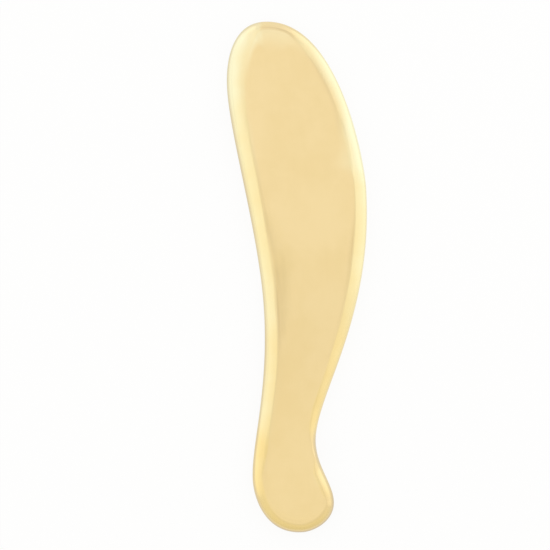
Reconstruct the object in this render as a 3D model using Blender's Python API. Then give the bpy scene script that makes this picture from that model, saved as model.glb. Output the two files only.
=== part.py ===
# A gua sha tool: one solid brass plate for stroking skin, with a ground and polished flank all round.
#
# The plate lies on its back face. +Z points out of the front face, +Y runs from the tail to the head and
# +X points at the belly edge. The origin is on the back face, halfway along and halfway across.
# The back line is the straight line, along Y, that touches the back edge at the head and at the tail.

import bmesh
import bpy
from mathutils import Vector
from mathutils.geometry import interpolate_bezier

# Overall sizes, in metres
LENGTH = 0.140
WIDTH = 0.0362
THICKNESS = 0.005

# Head: how far in from the back line, and how far down from the head's end
HEAD_TIP_IN = 0.0111
HEAD_BACK_DOWN = 0.018
BELLY_DOWN = 0.047

# Back edge between head and tail: the long hollow that a finger rests in
HOLLOW_DEPTH = 0.0061
HOLLOW_UP = 0.062

# Tail: how far in from the back line, and how far up from the tail's end
WAIST_IN = 0.0179
WAIST_UP = 0.024
NOSE_IN = 0.0218
NOSE_UP = 0.008
TAIL_TIP_IN = 0.0127
TAIL_BACK_UP = 0.015

# Width of the sloping flank, seen from the front, at each turn of the outline
HEAD_TIP_FLANK = 0.0018
BELLY_FLANK = 0.0032
WAIST_FLANK = 0.0012
NOSE_FLANK = 0.0026
TAIL_TIP_FLANK = 0.0025
TAIL_BACK_FLANK = 0.0028
HOLLOW_FLANK = 0.0033
HEAD_BACK_FLANK = 0.0050

# Facets of the solid, and how close the two halves' rims lie to be one rim
FACET_LENGTH = 0.002
FEWEST_STEPS = 10
FLANK_STEPS = 6
MERGE_DISTANCE = 0.00001

# Unit headings around the outline, clockwise from the front
RIGHT = Vector((1, 0))
DOWN = Vector((0, -1))
LEFT = Vector((-1, 0))
UP = Vector((0, 1))

# The outline turns at eight points. Each one's curve handles reach these shares of the run from the point
# before it and of the run to the point after it. The ridge between flank and face is crisp at 0 and
# melts into the face at 1.
TURN_SHARES = {
    "head_tip": {"arrive": 0.66, "leave": 0.82, "soft_ridge": 0.6},
    "belly": {"arrive": 0.16, "leave": 0.53, "soft_ridge": 0},
    "waist": {"arrive": 0.18, "leave": 0.41, "soft_ridge": 0.9},
    "nose": {"arrive": 0.30, "leave": 0.67, "soft_ridge": 0.7},
    "tail_tip": {"arrive": 0.37, "leave": 0.81, "soft_ridge": 0.9},
    "tail_back": {"arrive": 0.32, "leave": 0.20, "soft_ridge": 0.7},
    "hollow": {"arrive": 0.49, "leave": 0.33, "soft_ridge": 0},
    "head_back": {"arrive": 0.22, "leave": 0.58, "soft_ridge": 0.6},
}

# The flank's section, from the rim at mid thickness (0, 0) to the ridge (1, 1): across it in shares of the
# flank's width, and up it in shares of half the thickness
RIM_RISE_SHARE = 0.50
CRISP_RIDGE_SHARES = (0.20, 0.68)
SOFT_RIDGE_SHARES = (0.45, 1)


def clear_scene():
    for item in list(bpy.data.objects):
        bpy.data.objects.remove(item, do_unlink=True)


def outline_turns():
    """Place, heading and flank width of each turn of the outline, clockwise from the head's tip."""
    back = -WIDTH / 2
    head = LENGTH / 2
    tail = -LENGTH / 2
    return {
        "head_tip": (Vector((back + HEAD_TIP_IN, head)), RIGHT, HEAD_TIP_FLANK),
        "belly": (Vector((back + WIDTH, head - BELLY_DOWN)), DOWN, BELLY_FLANK),
        "waist": (Vector((back + WAIST_IN, tail + WAIST_UP)), DOWN, WAIST_FLANK),
        "nose": (Vector((back + NOSE_IN, tail + NOSE_UP)), DOWN, NOSE_FLANK),
        "tail_tip": (Vector((back + TAIL_TIP_IN, tail)), LEFT, TAIL_TIP_FLANK),
        "tail_back": (Vector((back, tail + TAIL_BACK_UP)), UP, TAIL_BACK_FLANK),
        "hollow": (Vector((back + HOLLOW_DEPTH, tail + HOLLOW_UP)), UP, HOLLOW_FLANK),
        "head_back": (Vector((back, head - HEAD_BACK_DOWN)), UP, HEAD_BACK_FLANK),
    }


def eased(start, end, way):
    """Between two values, leaving the first and reaching the second without a kink."""
    return start + (end - start) * way * way * (3 - 2 * way)


def rim_stations():
    """Points around the widest outline, each with the flank's width and the ridge's softness there."""
    turns = outline_turns()
    names = list(turns)
    stations = []
    for name, after in zip(names, names[1:] + names[:1]):
        start, heading, flank = turns[name]
        end, heading_after, flank_after = turns[after]
        soft, soft_after = TURN_SHARES[name]["soft_ridge"], TURN_SHARES[after]["soft_ridge"]
        run = end - start
        leave = heading * abs(run.dot(heading)) * TURN_SHARES[name]["leave"]
        arrive = heading_after * abs(run.dot(heading_after)) * TURN_SHARES[after]["arrive"]
        steps = max(FEWEST_STEPS, round(run.length / FACET_LENGTH))
        curve = interpolate_bezier(start, start + leave, end - arrive, end, steps + 1)
        for step, place in enumerate(curve[:-1]):
            way = step / steps
            stations.append((place, eased(flank, flank_after, way), eased(soft, soft_after, way)))
    return stations


def flank_section(soft):
    """The section's points from rim to ridge, as shares of the flank's width and of half the thickness."""
    ridge_handle = Vector(CRISP_RIDGE_SHARES).lerp(Vector(SOFT_RIDGE_SHARES), soft)
    rim_handle = Vector((0, RIM_RISE_SHARE))
    return interpolate_bezier(Vector((0, 0)), rim_handle, ridge_handle, Vector((1, 1)), FLANK_STEPS + 1)


def front_rings():
    """Rings of points from the rim, at mid thickness, up the flank to the front face."""
    stations = rim_stations()
    rings = [[] for _ in range(FLANK_STEPS + 1)]
    for index, (place, flank, soft) in enumerate(stations):
        before = stations[index - 1][0]
        after = stations[(index + 1) % len(stations)][0]
        along = (after - before).normalized()
        inward = Vector((along.y, -along.x))
        for ring, (across, rise) in zip(rings, flank_section(soft)):
            spot = place + inward * flank * across
            ring.append((spot.x, spot.y, rise * THICKNESS / 2))
    return rings


def brass():
    material = bpy.data.materials.new("polished_brass")
    material.use_nodes = True
    shader = material.node_tree.nodes["Principled BSDF"]
    shader.inputs["Base Color"].default_value = (0.88, 0.70, 0.36, 1)
    shader.inputs["Metallic"].default_value = 1
    shader.inputs["Roughness"].default_value = 0.22
    return material


def gua_sha_plate():
    """The front half as rings and a flat face, with the back half mirrored from it about mid thickness."""
    mesh = bmesh.new()
    loops = [[mesh.verts.new(point) for point in ring] for ring in front_rings()]
    for lower, upper in zip(loops, loops[1:]):
        for here in range(len(lower)):
            there = here - 1
            mesh.faces.new((lower[there], upper[there], upper[here], lower[here]))
    face = mesh.faces.new(reversed(loops[-1]))
    for facet in mesh.faces:
        facet.smooth = True
    for edge in face.edges:
        edge.smooth = False
    bmesh.ops.recalc_face_normals(mesh, faces=mesh.faces)
    data = bpy.data.meshes.new("gua_sha_plate")
    mesh.to_mesh(data)
    mesh.free()
    data.materials.append(brass())
    plate = bpy.data.objects.new("gua_sha_plate", data)
    plate.location.z = THICKNESS / 2
    bpy.context.scene.collection.objects.link(plate)
    return plate


def add_back_half(plate):
    mirror = plate.modifiers.new("back half", "MIRROR")
    mirror.use_axis = (False, False, True)
    mirror.merge_threshold = MERGE_DISTANCE


clear_scene()
add_back_half(gua_sha_plate())
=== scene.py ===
import math

import bpy
import numpy as np
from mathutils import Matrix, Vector, kdtree, noise
from mathutils.geometry import delaunay_2d_cdt, interpolate_bezier


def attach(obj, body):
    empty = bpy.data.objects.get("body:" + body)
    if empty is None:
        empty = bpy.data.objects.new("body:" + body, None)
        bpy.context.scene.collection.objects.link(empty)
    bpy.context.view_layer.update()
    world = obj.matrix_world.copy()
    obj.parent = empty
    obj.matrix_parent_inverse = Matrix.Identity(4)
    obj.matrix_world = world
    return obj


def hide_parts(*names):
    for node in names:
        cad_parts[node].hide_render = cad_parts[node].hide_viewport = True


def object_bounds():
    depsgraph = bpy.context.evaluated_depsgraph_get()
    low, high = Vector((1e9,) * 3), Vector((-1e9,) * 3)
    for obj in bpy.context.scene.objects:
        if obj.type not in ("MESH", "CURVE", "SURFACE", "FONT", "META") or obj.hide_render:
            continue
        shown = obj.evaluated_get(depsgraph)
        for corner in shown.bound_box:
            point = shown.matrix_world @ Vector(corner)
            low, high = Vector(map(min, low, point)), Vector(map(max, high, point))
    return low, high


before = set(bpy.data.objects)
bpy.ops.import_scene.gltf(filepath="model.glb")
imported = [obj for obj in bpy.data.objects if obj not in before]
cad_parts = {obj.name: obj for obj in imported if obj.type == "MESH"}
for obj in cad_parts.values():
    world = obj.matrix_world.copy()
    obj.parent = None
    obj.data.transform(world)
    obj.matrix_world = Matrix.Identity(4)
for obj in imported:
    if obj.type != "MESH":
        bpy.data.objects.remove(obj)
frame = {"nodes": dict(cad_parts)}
cadLow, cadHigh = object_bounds()
print("frame loaded:", ", ".join(frame["nodes"]))


# the brass plate, which lies on its back face with its head towards +Y and its belly towards +X
backLine = cadLow.x
width = cadHigh.x - cadLow.x
tailEnd, headEnd = cadLow.y, cadHigh.y
plate = {
    "name": "polished_plate",
    "node": "gua_sha_plate",
    "slot": "brass",
    "stationGap": 0.0005,  # between points around the outline
    "fewestSteps": 8,
    "flankSteps": 24,
    "rollSteps": 10,
    "rimRiseShare": 0.50,  # how upright the rim stands, as a share of half the thickness
    "crispHandleShares": (0.20, 0.68),  # the flank's curve handle at a crisp ridge, and at a soft one
    "softHandleShares": (0.45, 1.0),
    "gridGap": 0.002,  # between points of the flat face
    "mergeGap": 1e-9,
    "waveDepth": 0.000012,  # a face polished by hand is never quite flat
    "waveLength": 0.014,
    "waveFade": 0.004,  # how far inside the roll the waves reach their depth
    "fullToneShare": 0.6,  # how far from ridge to rim the edge's painted highlight tone is full
    "innerPaleShare": 0.6,  # how much of the flank's painted highlight paleness is left beside the ridge
    "spillPaleShare": 0.8,
    "spillPaleAt": 0.35,  # the flank's painted highlight paleness from which the spill is fully pale
    "streakReach": 0.0030,  # how far inside the ridge the polishing marks and their painted shade end
    "flankMarksFade": 12,  # how fast they fade from the ridge towards the rim
    "shadeFullShare": 0.3125,  # how far from ridge to rim the painted shade is full, and where it ends
    "shadeEndShare": 0.625,
    "rimShadeReach": 0.0011,  # how far inside the rim the painted shade ends
    "swayShare": 0.03,  # how much the flank's width wanders by hand
    "swayRate": 4.5,
}

# where the outline turns, clockwise from the head's tip: in from the back line, and down from the head's end
# or up from the tail's. The curve's handles reach the given shares of the run from the turn before and of
# the run to the turn after
right, down, left, up = Vector((1, 0)), Vector((0, -1)), Vector((-1, 0)), Vector((0, 1))
turns = [
    {"in": 0.0111, "down": 0.000, "heading": right, "arriveShare": 0.66, "leaveShare": 0.82},  # head tip
    {"in": width, "down": 0.047, "heading": down, "arriveShare": 0.16, "leaveShare": 0.53},  # belly
    {"in": 0.0179, "up": 0.024, "heading": down, "arriveShare": 0.18, "leaveShare": 0.41},  # waist
    {"in": 0.0218, "up": 0.008, "heading": down, "arriveShare": 0.30, "leaveShare": 0.67},  # nose
    {"in": 0.0127, "up": 0.000, "heading": left, "arriveShare": 0.37, "leaveShare": 0.81},  # tail tip
    {"in": 0.0000, "up": 0.015, "heading": up, "arriveShare": 0.32, "leaveShare": 0.20},  # tail back
    {"in": 0.0061, "up": 0.062, "heading": up, "arriveShare": 0.49, "leaveShare": 0.33},  # hollow
    {"in": 0.0000, "down": 0.018, "heading": up, "arriveShare": 0.22, "leaveShare": 0.58},  # head back
]

# the ground edge around the plate. A stop's place counts turns from the head's tip, so 1.5 is halfway from
# the belly to the waist. Flank and roll are widths, soft melts the ridge between them into the face, and
# tilt is the roll's slope beside the ridge, in degrees
stops = [
    {"place": 0.00, "flank": 0.0018, "soft": 0.6, "roll": 0.0070, "tilt": 5.5},  # head tip
    {"place": 0.12, "flank": 0.0018, "soft": 0.6, "roll": 0.0066, "tilt": 4.0},
    {"place": 0.22, "flank": 0.0029, "soft": 0.3, "roll": 0.0026, "tilt": 1.5},
    {"place": 0.30, "flank": 0.0033, "soft": 0.2, "roll": 0.0012, "tilt": 2.0},
    {"place": 0.40, "flank": 0.0034, "soft": 0.2, "roll": 0.0012, "tilt": 4.0},
    {"place": 0.53, "flank": 0.0033, "roll": 0.0012, "tilt": 4.0},
    {"place": 0.68, "flank": 0.0038, "soft": 0.7, "roll": 0.0018, "tilt": 0.8},
    {"place": 0.80, "flank": 0.0036, "soft": 0.5, "roll": 0.0044, "tilt": 0.8},
    {"place": 0.92, "flank": 0.0033, "soft": 0.1, "roll": 0.0012, "tilt": 1.5},
    {"place": 1.00, "flank": 0.0033, "roll": 0.0010, "tilt": 2.0},  # belly
    {"place": 1.17, "flank": 0.0034, "roll": 0.0015, "tilt": 7.0},
    {"place": 1.27, "flank": 0.0033, "roll": 0.0014, "tilt": 6.0},
    {"place": 1.45, "flank": 0.0030, "soft": 0.1, "roll": 0.0012, "tilt": 3.0},
    {"place": 1.62, "flank": 0.0026, "soft": 0.4, "roll": 0.0012, "tilt": 2.0},
    {"place": 1.78, "flank": 0.0026, "soft": 0.6, "roll": 0.0012, "tilt": 1.0},
    {"place": 1.90, "flank": 0.0022, "soft": 0.8, "roll": 0.0012, "tilt": 1.0},
    {"place": 2.00, "flank": 0.0015, "soft": 0.9, "roll": 0.0012, "tilt": 1.0},  # waist
    {"place": 2.18, "flank": 0.0012, "soft": 0.9, "roll": 0.0012, "tilt": 1.0},
    {"place": 2.42, "flank": 0.0028, "soft": 0.9, "roll": 0.0012, "tilt": 0.5},
    {"place": 2.60, "flank": 0.0029, "soft": 0.9, "roll": 0.0012, "tilt": 0.5},
    {"place": 3.00, "flank": 0.0027, "soft": 0.9, "roll": 0.0012, "tilt": 0.5},  # nose
    {"place": 4.00, "flank": 0.0026, "soft": 1.0, "roll": 0.0026, "tilt": 0.5},  # tail tip
    {"place": 5.00, "flank": 0.0028, "soft": 0.7, "roll": 0.0014, "tilt": 1.0},  # tail back
    {"place": 5.30, "flank": 0.0036, "soft": 0.6, "roll": 0.0014, "tilt": 1.5},
    {"place": 5.52, "flank": 0.0035, "soft": 0.3, "roll": 0.0016, "tilt": 2.0},
    {"place": 5.75, "flank": 0.0036, "soft": 0.1, "roll": 0.0028, "tilt": 3.0},
    {"place": 6.00, "flank": 0.0032, "roll": 0.0062, "tilt": 8.0},  # hollow
    {"place": 6.15, "flank": 0.0034, "roll": 0.0078, "tilt": 7.5},
    {"place": 6.30, "flank": 0.0034, "roll": 0.0050, "tilt": 5.0},
    {"place": 6.43, "flank": 0.0038, "soft": 0.1, "roll": 0.0024, "tilt": 3.5},
    {"place": 6.63, "flank": 0.0040, "soft": 0.3, "roll": 0.0014, "tilt": 3.0},
    {"place": 6.80, "flank": 0.0045, "soft": 0.5, "roll": 0.0014, "tilt": 2.0},
    {"place": 7.00, "flank": 0.0050, "soft": 0.6, "roll": 0.0014, "tilt": 2.0},  # head back
    {"place": 7.35, "flank": 0.0052, "soft": 0.6, "roll": 0.0014, "tilt": 2.0},
    {"place": 7.58, "flank": 0.0047, "soft": 0.6, "roll": 0.0019, "tilt": 3.5},
    {"place": 7.74, "flank": 0.0039, "soft": 0.7, "roll": 0.0030, "tilt": 5.0},
    {"place": 7.91, "flank": 0.0025, "soft": 0.9, "roll": 0.0058, "tilt": 5.5},
    {"place": 8.00, "flank": 0.0018, "soft": 0.6, "roll": 0.0070, "tilt": 5.5},  # the head tip again
]
stopKeys = ("flank", "soft", "roll", "tilt")

# the edge's finish, with its painted highlight and painted shade. Pale is how pale the painted highlight on
# the flank is, outer and inner are the shares of the edge's painted highlight tone at the rim and beside the
# ridge, spill is its share on the roll, streaks is the strength of the polishing marks there, which also
# paint shade beside the ridge, rim is the strength of a painted shade along the rim, and shade is the
# strength of a painted shade over the flank's inner half. A value that a stop leaves out is 0
finishStops = [
    {"place": 0.00, "pale": 0.35, "outer": 0.4, "spill": 0.45, "rim": 0.2, "shade": 0.2},  # head tip
    {"place": 0.03, "pale": 0.35, "outer": 0.3, "spill": 0.42, "rim": 0.2, "shade": 0.4},
    {"place": 0.10, "pale": 0.35, "outer": 0.1, "spill": 0.38, "rim": 0.2, "shade": 0.3},
    {"place": 0.24, "pale": 0.70, "outer": 0.8, "inner": 0.8, "spill": 0.15, "rim": 0.2},
    {"place": 0.36, "pale": 0.90, "outer": 1.0, "inner": 0.4, "streaks": 0.5},
    {"place": 0.53, "pale": 0.95, "outer": 1.0, "inner": 0.1, "streaks": 0.5},
    {"place": 0.70, "pale": 1.20, "outer": 1.0, "inner": 0.4, "spill": 0.20, "streaks": 0.1},
    {"place": 0.80, "pale": 1.18, "outer": 1.0, "inner": 0.6, "spill": 0.35, "streaks": 0.1},
    {"place": 0.90, "pale": 1.00, "outer": 1.0, "inner": 0.8, "spill": 0.05, "streaks": 0.1},
    {"place": 1.00, "pale": 0.72, "outer": 1.0, "inner": 0.8, "streaks": 0.1},  # belly
    {"place": 1.19, "pale": 0.68, "outer": 1.0, "inner": 0.8, "streaks": 0.9, "rim": 0.1},
    {"place": 1.34, "pale": 0.52, "outer": 0.9, "inner": 0.7, "streaks": 0.3, "rim": 0.1},
    {"place": 1.47, "pale": 0.30, "outer": 0.9, "inner": 0.7, "streaks": 0.2, "rim": 0.2},
    {"place": 1.62, "pale": 0.18, "outer": 0.8, "inner": 0.6, "streaks": 0.1, "rim": 0.2},
    {"place": 1.88, "pale": 0.08, "outer": 0.9, "inner": 0.6, "spill": 0.10, "streaks": 0.1, "rim": 0.2},
    {"place": 2.00, "pale": 0.15, "outer": 0.1, "streaks": 0.1, "rim": 0.6},  # waist
    {"place": 2.18, "pale": 0.20, "outer": 0.2, "streaks": 0.1, "rim": 0.6},
    {"place": 2.50, "pale": 0.30, "outer": 0.9, "inner": 0.8, "spill": 0.10, "streaks": 0.1, "rim": 0.5},
    {"place": 2.80, "pale": 0.05, "outer": 0.6, "inner": 0.5, "spill": 0.10, "streaks": 0.1, "rim": 0.6},
    {"place": 3.00, "outer": 0.1, "streaks": 0.1, "rim": 0.8},  # nose
    {"place": 3.40, "outer": 0.5, "inner": 0.1, "spill": 0.10, "streaks": 0.2, "rim": 0.9},
    {"place": 4.00, "outer": 0.8, "inner": 0.1, "spill": 0.20, "streaks": 0.3, "rim": 1.0},  # tail tip
    {"place": 4.25, "outer": 0.8, "inner": 0.3, "spill": 0.20, "streaks": 0.2, "rim": 0.9},
    {"place": 4.50, "pale": 0.06, "outer": 0.9, "inner": 0.6, "spill": 0.20, "streaks": 0.2, "rim": 0.7},
    {"place": 4.70, "pale": 0.06, "outer": 0.7, "inner": 0.6, "spill": 0.10, "streaks": 0.2, "rim": 0.7},
    {"place": 5.00, "pale": 0.08, "outer": 1.0, "inner": 0.6, "streaks": 0.2, "rim": 0.6},  # tail back
    {"place": 5.30, "pale": 0.12, "outer": 1.0, "inner": 0.9, "streaks": 0.2, "rim": 0.6},
    {"place": 5.52, "pale": 0.62, "outer": 1.0, "inner": 0.8, "spill": 0.10, "streaks": 0.2, "rim": 0.6},
    {"place": 5.82, "pale": 0.50, "outer": 1.0, "inner": 0.8, "streaks": 0.15, "rim": 0.7},
    {"place": 6.00, "pale": 0.74, "outer": 1.0, "inner": 0.9, "streaks": 0.7, "rim": 0.6},  # hollow
    {"place": 6.22, "pale": 0.72, "outer": 1.0, "inner": 0.9, "streaks": 0.3, "rim": 0.6},
    {"place": 6.46, "pale": 0.58, "outer": 1.0, "inner": 0.9, "streaks": 0.3, "rim": 0.7},
    {"place": 6.66, "pale": 0.74, "outer": 1.0, "inner": 0.8, "spill": 0.25, "streaks": 0.5, "rim": 0.7},
    {"place": 6.82, "pale": 0.85, "outer": 1.0, "inner": 0.6, "spill": 0.10, "streaks": 0.2, "rim": 0.7},
    {"place": 7.00, "pale": 1.18, "outer": 1.0, "inner": 0.4, "spill": 0.10, "streaks": 0.2, "rim": 0.6},
    {"place": 7.55, "pale": 1.12, "outer": 1.0, "inner": 0.6, "spill": 0.60, "rim": 0.5},
    {"place": 7.78, "pale": 1.00, "outer": 0.8, "inner": 1.0, "spill": 0.85, "rim": 0.5},
    {"place": 7.92, "pale": 1.00, "outer": 0.7, "inner": 1.0, "spill": 0.80, "rim": 0.4},
    {"place": 8.00, "pale": 0.35, "outer": 0.4, "spill": 0.45, "rim": 0.2, "shade": 0.2},  # as at 0
]
finishKeys = ("pale", "outer", "inner", "spill", "streaks", "rim", "shade")


def easedShare(share):
    # from 0 to 1 without a kink at either end
    share = min(1, max(0, share))
    return share * share * (3 - 2 * share)


def valuesAt(rows, keys, place):
    # the stops' values at a place of the outline, eased from one stop to the next
    for row, after in zip(rows, rows[1:]):
        if place <= after["place"]:
            way = easedShare((place - row["place"]) / (after["place"] - row["place"]))
            return [row.get(key, 0) * (1 - way) + after.get(key, 0) * way for key in keys]


def turnSpot(turn):
    y = headEnd - turn["down"] if "down" in turn else tailEnd + turn["up"]
    return Vector((backLine + turn["in"], y))


def outlineStations():
    # points around the rim, each with its sizes and its finish
    places, sizes, finishes = [], [], []
    for number, (turn, after) in enumerate(zip(turns, turns[1:] + turns[:1])):
        start, end = turnSpot(turn), turnSpot(after)
        run = end - start
        leave = turn["heading"] * abs(run.dot(turn["heading"])) * turn["leaveShare"]
        arrive = after["heading"] * abs(run.dot(after["heading"])) * after["arriveShare"]
        steps = max(plate["fewestSteps"], round(run.length / plate["stationGap"]))
        curve = interpolate_bezier(start, start + leave, end - arrive, end, steps + 1)
        for step, spot in enumerate(curve[:-1]):
            places.append(spot[:2])
            sizes.append(valuesAt(stops, stopKeys, number + step / steps))
            finishes.append(valuesAt(finishStops, finishKeys, number + step / steps))
    for index, size in enumerate(sizes):
        angle = 2 * math.pi * index / len(sizes)
        sway = noise.noise(Vector((math.cos(angle), math.sin(angle), 0)) * plate["swayRate"])
        size[0] *= 1 + plate["swayShare"] * sway
    return np.array(places), np.array(sizes), finishes


def sectionPoints(flank, soft, roll, tilt, halfThickness):
    # across and up from the rim: the flank to the ridge, then the roll of the face inside it
    handle = Vector(plate["crispHandleShares"]).lerp(Vector(plate["softHandleShares"]), soft)
    quarter = interpolate_bezier(Vector((0, 0)), Vector((0, plate["rimRiseShare"])), handle,
                                 Vector((1, 1)), plate["flankSteps"] + 1)
    drop = roll * math.tan(math.radians(tilt)) / 2
    points = [(across * flank, rise * (halfThickness - drop)) for across, rise in quarter]
    for step in range(1, plate["rollSteps"] + 1):
        way = step / plate["rollSteps"]
        points.append((flank + roll * way, halfThickness - drop * (1 - way) ** 2))
    return points


# per point: the painted highlight's share and paleness, polishing marks with painted shade, painted rim
# shade, and polish
shareNames = ("edgeHighlightShare", "edgeHighlightPale", "edgeMarksAndShade", "rimPaintedShade", "edgePolish")


def edgeFinish(step, across, size, finish):
    # the edge's shares, in shareNames' order, at a step of the section from the rim inwards
    pale, outer, inner, spill, streaks, rim, shade = finish
    flank = size[0]
    polish = min(1, (plate["flankSteps"] + plate["rollSteps"] - step) / plate["rollSteps"])
    inside = max(0, across - flank)
    # polishing marks on the roll, with a painted shade beside the ridge
    marksWithShade = streaks * polish * easedShare(1 - inside / plate["streakReach"])
    if step > plate["flankSteps"]:
        spillPale = plate["spillPaleShare"] * easedShare(pale / plate["spillPaleAt"])
        return spill * easedShare(polish), spillPale, marksWithShade, 0, polish
    toRim = 1 - across / flank
    # the painted highlight's tone, from beside the ridge to the rim
    tone = inner + (outer - inner) * easedShare(toRim / plate["fullToneShare"])
    if step == plate["flankSteps"]:
        tone = (tone + spill) / 2
    # the painted highlight, paler towards the rim
    pale *= plate["innerPaleShare"] + (1 - plate["innerPaleShare"]) * toRim
    # a painted shade along the rim, fading inwards
    dimming = rim * easedShare(1 - across / plate["rimShadeReach"])
    marksWithShade *= easedShare(1 - plate["flankMarksFade"] * toRim)
    # a painted shade over the flank's inner half, carried with the marks
    shadeFade = plate["shadeEndShare"] - plate["shadeFullShare"]
    marksWithShade += shade * easedShare((plate["shadeEndShare"] - toRim) / shadeFade)
    return tone, pale, marksWithShade, dimming, polish


def plateRings():
    # rings from the rim up to the edge of the flat face, each an array of x, y and height over mid thickness.
    # For each ring come its points' places on a tube, which is as long round as the outline and as deep as
    # the section, so that marks run along the edge without a seam, and then its points' finish
    places, sizes, finishes = outlineStations()
    along = np.roll(places, -1, axis=0) - np.roll(places, 1, axis=0)
    along /= np.linalg.norm(along, axis=1)[:, None]
    inward = np.column_stack([along[:, 1], -along[:, 0]])
    halfThickness = (cadHigh.z - cadLow.z) / 2
    sections = np.array([sectionPoints(*size, halfThickness) for size in sizes])
    gaps = np.linalg.norm(np.roll(places, -1, axis=0) - places, axis=1)
    angles = 2 * math.pi * np.concatenate([[0], np.cumsum(gaps)[:-1]]) / gaps.sum()
    tube = gaps.sum() / (2 * math.pi)
    rings, runs, shares = [], [], []
    for step in range(sections.shape[1]):
        across, rise = sections[:, step, 0], sections[:, step, 1]
        rings.append(np.column_stack([places + inward * across[:, None], rise]))
        runs.append(np.column_stack([tube * np.cos(angles), tube * np.sin(angles), across]))
        shares.append([edgeFinish(step, *values) for values in zip(across, sizes, finishes)])
    return rings, runs, shares


def faceFill(ring):
    # the flat face inside a ring of points: the ring's own points and a grid between them
    count = len(ring)
    border = [Vector(point[:2]) for point in ring]
    tree = kdtree.KDTree(count)
    for index, point in enumerate(border):
        tree.insert((point.x, point.y, 0), index)
    tree.balance()
    low, high = ring.min(axis=0), ring.max(axis=0)
    gap = plate["gridGap"]
    grid = []
    for row, y in enumerate(np.arange(low[1], high[1], gap)):
        for x in np.arange(low[0] + gap * (row % 2) / 2, high[0], gap):
            if tree.find((x, y, 0))[2] > gap / 2:
                grid.append(Vector((x, y)))
    ringLoops = [list(range(count))]
    insideOnly = 1  # of the triangles, keep those inside the ring
    points, _, faces, _, _, _ = delaunay_2d_cdt(border + grid, [], ringLoops, insideOnly, plate["mergeGap"])
    waves = {}
    for index in sorted({index for face in faces for index in face}):
        x, y = points[index]
        fade = easedShare(tree.find((x, y, 0))[2] / plate["waveFade"])
        swell = noise.noise(Vector((x, y, 0)) / plate["waveLength"])
        waves[index] = (1 + swell) / 2 * plate["waveDepth"] * fade
    return points, faces, waves


def buildPlate():
    # the front half and the back half share the rim, and each ends in its flat face
    rings, runs, shares = plateRings()
    count = len(rings[0])
    middle = (cadHigh.z + cadLow.z) / 2
    points, faces, edgeRun, edgeShares = [], [], [], []

    def addRing(step, side):
        first = len(points)
        points.extend((x, y, middle + side * rise) for x, y, rise in rings[step])
        edgeRun.extend((x, y, side * across) for x, y, across in runs[step])
        edgeShares.extend(shares[step])
        return first

    rim = addRing(0, 1)
    for side in (1, -1):
        below = rim
        for step in range(1, len(rings)):
            above = addRing(step, side)
            for here in range(count):
                there = (here + 1) % count
                quad = (below + here, above + here, above + there, below + there)
                faces.append(quad if side > 0 else quad[::-1])
            below = above
        fillPoints, fillFaces, waves = faceFill(rings[-1])
        top = rings[-1][0][2]
        numbers = {}
        for index in waves:
            if index < count:
                numbers[index] = below + index
            else:
                numbers[index] = len(points)
                x, y = fillPoints[index]
                points.append((x, y, middle + side * (top - waves[index])))
                edgeRun.append((0, 0, 0))
                edgeShares.append((0,) * len(shareNames))
        for face in fillFaces:
            corners = [numbers[index] for index in face]
            faces.append(corners if side > 0 else corners[::-1])
    mesh = bpy.data.meshes.new(plate["name"])
    mesh.from_pydata([tuple(map(float, point)) for point in points], [], faces)
    mesh.attributes.new("edgeRun", "FLOAT_VECTOR", "POINT").data.foreach_set("vector", np.ravel(edgeRun))
    for shareName, values in zip(shareNames, zip(*edgeShares)):
        mesh.attributes.new(shareName, "FLOAT", "POINT").data.foreach_set("value", values)
    mesh.validate()
    mesh.shade_smooth()
    piece = bpy.data.objects.new(plate["name"], mesh)
    bpy.context.scene.collection.objects.link(piece)
    return piece


def easedRange(tree, source, limits):
    # 0 below the limits and 1 above them, without a kink
    step = tree.nodes.new("ShaderNodeMapRange")
    step.interpolation_type = "SMOOTHSTEP"
    step.inputs["From Min"].default_value, step.inputs["From Max"].default_value = limits
    tree.links.new(source, step.inputs["Value"])
    return step.outputs["Result"]


def blendColours(tree, share, first, second):
    blend = tree.nodes.new("ShaderNodeMix")
    blend.data_type = "RGBA"
    tree.links.new(share, blend.inputs["Factor"])
    colourSockets = [socket for socket in blend.inputs if socket.type == "RGBA"]
    for socket, colour in zip(colourSockets, (first, second)):
        if isinstance(colour, tuple):
            socket.default_value = colour
        else:
            tree.links.new(colour, socket)
    return next(socket for socket in blend.outputs if socket.type == "RGBA")


def calculate(tree, operation, first, second):
    step = tree.nodes.new("ShaderNodeMath")
    step.operation = operation
    for socket, value in zip(step.inputs, (first, second)):
        if isinstance(value, (int, float)):
            socket.default_value = value
        else:
            tree.links.new(value, socket)
    return step.outputs["Value"]


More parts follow.
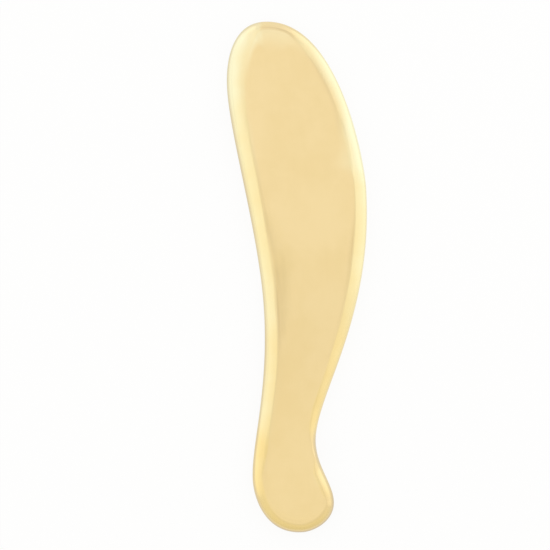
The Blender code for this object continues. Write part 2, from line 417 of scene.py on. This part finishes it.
# the polished brass. Each pattern is a noise with so many grains per metre along X, Y and Z. For streaks and
# polish lines the first two numbers are around the edge and the third is across it
brass = {
    "name": "polishedBrass",
    "paleTone": (0.892, 0.714, 0.388, 1),
    "warmTone": (0.868, 0.686, 0.357, 1),
    # the edge's painted highlight, in a warm and a pale tint
    "warmHighlight": (0.940, 0.740, 0.340, 1),
    "paleHighlight": (0.950, 0.900, 0.600, 1),
    # the painted shade along the rim
    "rimShadeTone": (0.600, 0.480, 0.310, 1),
    # the tone of the polishing marks and of the painted shade inside the ridge
    "marksAndShadeTone": (0.645, 0.490, 0.280, 1),
    "mottle": {"perMetre": (70, 70, 70), "detail": 2, "roughness": 0.5},  # soft patches of the face's tones
    "mottleLimits": (0.3, 0.7),
    "fineMottle": {"perMetre": (420, 420, 420), "detail": 2, "roughness": 0.5},
    "fineSpread": 0.25,
    "edgePatches": {"perMetre": (160, 160, 160), "detail": 2, "roughness": 0.5},
    "edgeSpread": 0.45,  # how much the edge's painted highlight paleness wanders
    "streaks": {"perMetre": (40, 40, 1500), "detail": 2, "roughness": 0.5},  # darker polishing marks, with a painted shade beside the ridge
    "streakLimits": (0.46, 0.64),
    "streakFloor": 0.15,  # how much of the marks and their painted shade is even
    "streakShare": 0.55,
    "hairlines": {"perMetre": (3200, 22, 22), "detail": 3, "roughness": 0.6},  # along the tool
    "hairDepth": 0.0000012,
    "polishLines": {"perMetre": (30, 30, 2600), "detail": 3, "roughness": 0.6},  # along the edge
    "polishDepth": 0.0000030,
    "swells": {"perMetre": (110, 110, 110), "detail": 1, "roughness": 0.5},
    "swellDepth": 0.000006,
    "scratches": {"perMetre": (1500, 60, 60), "detail": 0, "roughness": 0.5},
    "scratchTurns": (0.35, -0.6),  # the scratches' two slants to the tool's length, in radians
    "scratchLimits": (0.70, 0.78),
    "scratchDepth": 0.0000040,
    "lineLimits": (0.3, 0.7),  # from few lines to crowded ones, and the roughness at each
    "roughness": (0.150, 0.190),
}
noiseMiddle = 0.5


def addNoise(tree, vector, pattern, turn=0):
    mapping = tree.nodes.new("ShaderNodeMapping")
    mapping.inputs["Scale"].default_value = pattern["perMetre"]
    mapping.inputs["Rotation"].default_value = (0, 0, turn)
    tree.links.new(vector, mapping.inputs["Vector"])
    texture = tree.nodes.new("ShaderNodeTexNoise")
    texture.inputs["Scale"].default_value = 1
    texture.inputs["Detail"].default_value = pattern["detail"]
    texture.inputs["Roughness"].default_value = pattern["roughness"]
    tree.links.new(mapping.outputs["Vector"], texture.inputs["Vector"])
    return texture.outputs["Fac"]


def addWander(tree, vector, pattern, spread):
    # a noise that swings about zero
    swing = calculate(tree, "SUBTRACT", addNoise(tree, vector, pattern), noiseMiddle)
    return calculate(tree, "MULTIPLY", swing, spread)


def addBump(tree, height, depth, normal=None):
    bump = tree.nodes.new("ShaderNodeBump")
    bump.inputs["Strength"].default_value = 1
    bump.inputs["Distance"].default_value = depth
    tree.links.new(height, bump.inputs["Height"])
    if normal:
        tree.links.new(normal, bump.inputs["Normal"])
    return bump.outputs["Normal"]


def addAttribute(tree, name):
    attribute = tree.nodes.new("ShaderNodeAttribute")
    attribute.attribute_name = name
    return attribute


def brassColour(tree, place, run, edge):
    # soft patches of a paler and a warmer tone
    mottle = calculate(tree, "ADD", addNoise(tree, place, brass["mottle"]),
                       addWander(tree, place, brass["fineMottle"], brass["fineSpread"]))
    tone = easedRange(tree, mottle, brass["mottleLimits"])
    colour = blendColours(tree, tone, brass["warmTone"], brass["paleTone"])

    # the edge: a painted highlight, warmer or paler than the face, painted shade at the rim, and darker
    # polishing marks inside the ridge, with painted shade beside the ridge and over the flank's inner half
    patches = addWander(tree, place, brass["edgePatches"], brass["edgeSpread"])
    paleShare = calculate(tree, "ADD", edge["edgeHighlightPale"], patches)
    highlightColour = blendColours(tree, paleShare, brass["warmHighlight"], brass["paleHighlight"])
    colour = blendColours(tree, edge["edgeHighlightShare"], colour, highlightColour)
    # the painted shade along the rim
    colour = blendColours(tree, edge["rimPaintedShade"], colour, brass["rimShadeTone"])
    # polishing marks, with a painted shade beside the ridge and over the flank's inner half
    streaks = easedRange(tree, addNoise(tree, run, brass["streaks"]), brass["streakLimits"])
    streaks = calculate(tree, "MAXIMUM", streaks, brass["streakFloor"])
    streaks = calculate(tree, "MULTIPLY", streaks, edge["edgeMarksAndShade"])
    streaks = calculate(tree, "MULTIPLY", streaks, brass["streakShare"])
    return blendColours(tree, streaks, colour, brass["marksAndShadeTone"])


def brassRelief(tree, place, hair, lines):
    # slow swells, the polishing's fine lines, and stray scratches at two slants
    normal = addBump(tree, addNoise(tree, place, brass["swells"]), brass["swellDepth"])
    normal = addBump(tree, hair, brass["hairDepth"], normal)
    normal = addBump(tree, lines, brass["polishDepth"], normal)
    for turn in brass["scratchTurns"]:
        stray = addNoise(tree, place, brass["scratches"], turn)
        stray = easedRange(tree, stray, brass["scratchLimits"])
        normal = addBump(tree, stray, brass["scratchDepth"], normal)
    return normal


def brassRoughness(tree, lines):
    # duller where the lines crowd
    dimming = tree.nodes.new("ShaderNodeMapRange")
    dimming.inputs["From Min"].default_value, dimming.inputs["From Max"].default_value = brass["lineLimits"]
    dimming.inputs["To Min"].default_value, dimming.inputs["To Max"].default_value = brass["roughness"]
    tree.links.new(lines, dimming.inputs["Value"])
    return dimming.outputs["Result"]


def brassMaterial():
    material = bpy.data.materials.new(brass["name"])
    material.use_nodes = True
    tree = material.node_tree
    place = tree.nodes.new("ShaderNodeTexCoord").outputs["Object"]
    run = addAttribute(tree, "edgeRun").outputs["Vector"]
    edge = {name: addAttribute(tree, name).outputs["Fac"] for name in shareNames}

    # hairlines on the face, and polishing lines along the edge that fade out inside the ridge
    faceShare = calculate(tree, "SUBTRACT", 1, edge["edgePolish"])
    hair = calculate(tree, "MULTIPLY", addNoise(tree, place, brass["hairlines"]), faceShare)
    lines = calculate(tree, "MULTIPLY", addNoise(tree, run, brass["polishLines"]), edge["edgePolish"])

    shader = tree.nodes["Principled BSDF"]
    shader.inputs["Metallic"].default_value = 1
    tree.links.new(brassColour(tree, place, run, edge), shader.inputs["Base Color"])
    tree.links.new(brassRelief(tree, place, hair, lines), shader.inputs["Normal"])
    tree.links.new(brassRoughness(tree, calculate(tree, "ADD", hair, lines)), shader.inputs["Roughness"])
    return material


platePiece = buildPlate()
platePiece.data.materials.append(brassMaterial())
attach(platePiece, "root")
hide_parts(plate["node"])
print("plate built:", len(platePiece.data.vertices), "points")


# the pale floor
floor = {
    "name": "studio_floor",
    "halfSide": 1.5,
    "below": 0.00005,  # under the plate's back face
    "colour": (0.95, 0.95, 0.95, 1),
    "glowShare": 0.9,  # how much of what is seen is plain white, which keeps the shadow faint
}


def seenRay(tree):
    # 1 for a ray that shows the background: straight from the camera, in metal or through glass
    path = tree.nodes.new("ShaderNodeLightPath")
    seen = calculate(tree, "MAXIMUM", path.outputs["Is Camera Ray"], path.outputs["Is Glossy Ray"])
    return calculate(tree, "MAXIMUM", seen, path.outputs["Is Transmission Ray"])


def floorMaterial():
    material = bpy.data.materials.new("paleFloor")
    material.use_nodes = True
    tree = material.node_tree
    tree.nodes.remove(tree.nodes["Principled BSDF"])
    matte = tree.nodes.new("ShaderNodeBsdfDiffuse")
    matte.inputs["Color"].default_value = floor["colour"]
    glow = tree.nodes.new("ShaderNodeEmission")
    blend = tree.nodes.new("ShaderNodeMixShader")
    share, lit, glowing = blend.inputs
    tree.links.new(calculate(tree, "MULTIPLY", seenRay(tree), floor["glowShare"]), share)
    tree.links.new(matte.outputs["BSDF"], lit)
    tree.links.new(glow.outputs["Emission"], glowing)
    tree.links.new(blend.outputs["Shader"], tree.nodes["Material Output"].inputs["Surface"])
    return material


def buildFloor():
    side = floor["halfSide"]
    height = cadLow.z - floor["below"]
    mesh = bpy.data.meshes.new(floor["name"])
    corners = [(-side, -side, height), (side, -side, height), (side, side, height), (-side, side, height)]
    mesh.from_pydata(corners, [], [range(len(corners))])
    mesh.materials.append(floorMaterial())
    piece = bpy.data.objects.new(floor["name"], mesh)
    bpy.context.scene.collection.objects.link(piece)


buildFloor()
print("floor laid")


# soft studio light: diffusers overhead and on both sides, in a pale room that is cooler towards the head
room = {
    "headColour": (1.00, 1.00, 1.02, 1),
    "tailColour": (0.82, 0.79, 0.68, 1),
    "upperHeadColour": (0.86, 0.84, 0.84, 1),
    "upperTailColour": (0.91, 0.87, 0.69, 1),
    "headLimits": (-1.0, 0.6),  # how far the direction points to the head where the tail's colours give way
    "riseLimits": (0.35, 0.90),  # how far it points up where the upper colours take over
}
above, leftSide, rightSide, headSide = (0, 0, 1), (-1, 0, 0), (1, 0, 0), (0, 1, 0)
coolWhite, coldWhite, blueWhite = (0.95, 0.97, 1.0), (0.9, 0.95, 1.0), (0.8, 0.85, 1.0)
warmWhite, grey = (1.0, 0.95, 0.85), (0.85, 0.85, 0.85)
panels = {
    "overheadPanel": {"side": above, "at": (0, 0.125, 0.75), "size": (0.20, 0.29), "radiance": 0.20,
                      "colour": (0.77, 0.80, 0.90)},
    "tailTopPanel": {"side": above, "at": (0.125, -0.115, 0.75), "size": (0.45, 0.15), "radiance": 0.16,
                     "colour": grey},
    "tailTopLeftPanel": {"side": above, "at": (-0.225, -0.125, 0.75), "size": (0.25, 0.13), "radiance": 0.16,
                         "colour": grey},
    "headFillPanel": {"side": above, "at": (-0.145, 0.24, 0.60), "size": (0.13, 0.36), "radiance": 0.19,
                      "colour": coolWhite},
    "headTopPanel": {"side": above, "at": (-0.015, 0.20, 0.60), "size": (0.15, 0.14), "radiance": 0.03,
                     "colour": blueWhite},
    "headLeftPanel": {"side": above, "at": (-0.06, 0.175, 0.60), "size": (0.09, 0.14), "radiance": 0.09,
                      "colour": coldWhite},
    "headFarPanel": {"side": above, "at": (-0.035, 0.37, 0.60), "size": (0.11, 0.20), "radiance": 0.14,
                     "colour": blueWhite},
    "rightShoulderPanel": {"side": above, "at": (0.165, 0.205, 0.60), "size": (0.15, 0.11), "radiance": 0.12,
                           "colour": coolWhite},
    "rightCornerPanel": {"side": above, "at": (0.265, 0.32, 0.60), "size": (0.14, 0.14), "radiance": 0.14,
                         "colour": coolWhite},
    "headEndPanel": {"side": headSide, "at": (0.065, 0.42, 0.42), "size": (0.33, 0.28), "radiance": 0.10,
                     "colour": coldWhite},
    "rightFillPanel": {"side": above, "at": (0.24, 0.09, 0.60), "size": (0.28, 0.07), "radiance": 0.16,
                       "colour": coolWhite},
    "leftPanel": {"side": leftSide, "at": (-0.12, 0.171, 0.21), "size": (0.382, 0.22), "radiance": 0.19,
                  "colour": coolWhite},
    "leftLowPanel": {"side": leftSide, "at": (-0.12, 0.171, 0.05), "size": (0.382, 0.10), "radiance": 0.10,
                     "colour": coolWhite},
    "leftTailPanel": {"side": leftSide, "at": (-0.12, -0.055, 0.12), "size": (0.070, 0.24), "radiance": 0.16,
                      "colour": (1.0, 0.95, 0.8)},
    "leftTailEndPanel": {"side": leftSide, "at": (-0.12, -0.20, 0.12), "size": (0.20, 0.24), "radiance": 0.02,
                         "colour": (1.0, 1.0, 0.8)},
    "rightPanel": {"side": rightSide, "at": (0.12, 0.1075, 0.10), "size": (0.285, 0.20), "radiance": 0.18,
                   "colour": (0.98, 0.98, 0.95)},
    "rightEndPanel": {"side": rightSide, "at": (0.12, 0.33, 0.15), "size": (0.16, 0.30), "radiance": 0.08,
                      "colour": coldWhite},
    "rightMidPanel": {"side": above, "at": (0.17, 0.027, 0.60), "size": (0.20, 0.05), "radiance": 0.08,
                      "colour": warmWhite},
    "rightWaistPanel": {"side": rightSide, "at": (0.12, -0.0485, 0.10), "size": (0.027, 0.20),
                        "radiance": 0.11, "colour": warmWhite},
    "rightTailPanel": {"side": rightSide, "at": (0.12, -0.077, 0.10), "size": (0.030, 0.20),
                       "radiance": 0.15, "colour": warmWhite},
    "rightTailEndPanel": {"side": rightSide, "at": (0.12, -0.205, 0.12), "size": (0.20, 0.24),
                          "radiance": 0.03, "colour": (1.0, 1.0, 0.9)},
}


def addPanel(name, panel):
    # a panel shines away from its side, towards the plate, and only its light and its reflection are seen.
    # Its energy follows from how bright its surface is
    light = bpy.data.lights.new(name, "AREA")
    light.shape = "RECTANGLE"
    light.size, light.size_y = panel["size"]
    light.energy = panel["radiance"] * light.size * light.size_y * math.pi
    light.color = panel["colour"]
    item = bpy.data.objects.new(name, light)
    item.location = panel["at"]
    item.rotation_euler = Vector(panel["side"]).to_track_quat("Z", "Y").to_euler()
    item.visible_camera = False
    bpy.context.scene.collection.objects.link(item)


def lightRoom():
    world = bpy.data.worlds.new("paleRoom")
    world.use_nodes = True
    tree = world.node_tree
    direction = tree.nodes.new("ShaderNodeSeparateXYZ")
    tree.links.new(tree.nodes.new("ShaderNodeTexCoord").outputs["Generated"], direction.inputs["Vector"])
    toHead = easedRange(tree, direction.outputs["Y"], room["headLimits"])
    level = blendColours(tree, toHead, room["tailColour"], room["headColour"])
    upper = blendColours(tree, toHead, room["upperTailColour"], room["upperHeadColour"])
    rise = easedRange(tree, direction.outputs["Z"], room["riseLimits"])
    tree.links.new(blendColours(tree, rise, level, upper), tree.nodes["Background"].inputs["Color"])
    bpy.context.scene.world = world


for name, panel in panels.items():
    addPanel(name, panel)
lightRoom()
bpy.context.scene.view_settings.view_transform = "Standard"
print("lights placed:", len(panels))


# the camera looks straight down at the plate, rolled so that the head leans to the left as in the
# photograph. The plate's place and length in the picture are in its pixels
photoView = {
    "framePx": 550,
    "boxCentrePx": (305.6, 275.5),
    "lengthPx": 512.06,
    "lean": math.radians(-3.75),
    "height": 1.0,
    "sensorMm": 36,
    "clip": (0.01, 10),
}


def addCamera():
    plateCentre = (cadLow + cadHigh) / 2
    metresPerPx = (headEnd - tailEnd) / photoView["lengthPx"]
    lean = photoView["lean"]
    pictureRight = Vector((math.cos(lean), math.sin(lean), 0))
    pictureUp = Vector((-math.sin(lean), math.cos(lean), 0))
    centrePx = photoView["framePx"] / 2
    aside = (photoView["boxCentrePx"][0] - centrePx) * metresPerPx
    below = (photoView["boxCentrePx"][1] - centrePx) * metresPerPx
    aim = plateCentre - pictureRight * aside + pictureUp * below
    data = bpy.data.cameras.new("overheadCamera")
    data.sensor_width = photoView["sensorMm"]
    data.lens = photoView["sensorMm"] * photoView["height"] / (photoView["framePx"] * metresPerPx)
    data.clip_start, data.clip_end = photoView["clip"]
    camera = bpy.data.objects.new("overheadCamera", data)
    camera.location = aim + Vector((0, 0, photoView["height"]))
    camera.rotation_euler = (0, 0, lean)
    bpy.context.scene.collection.objects.link(camera)
    bpy.context.scene.camera = camera


addCamera()
print("camera set")
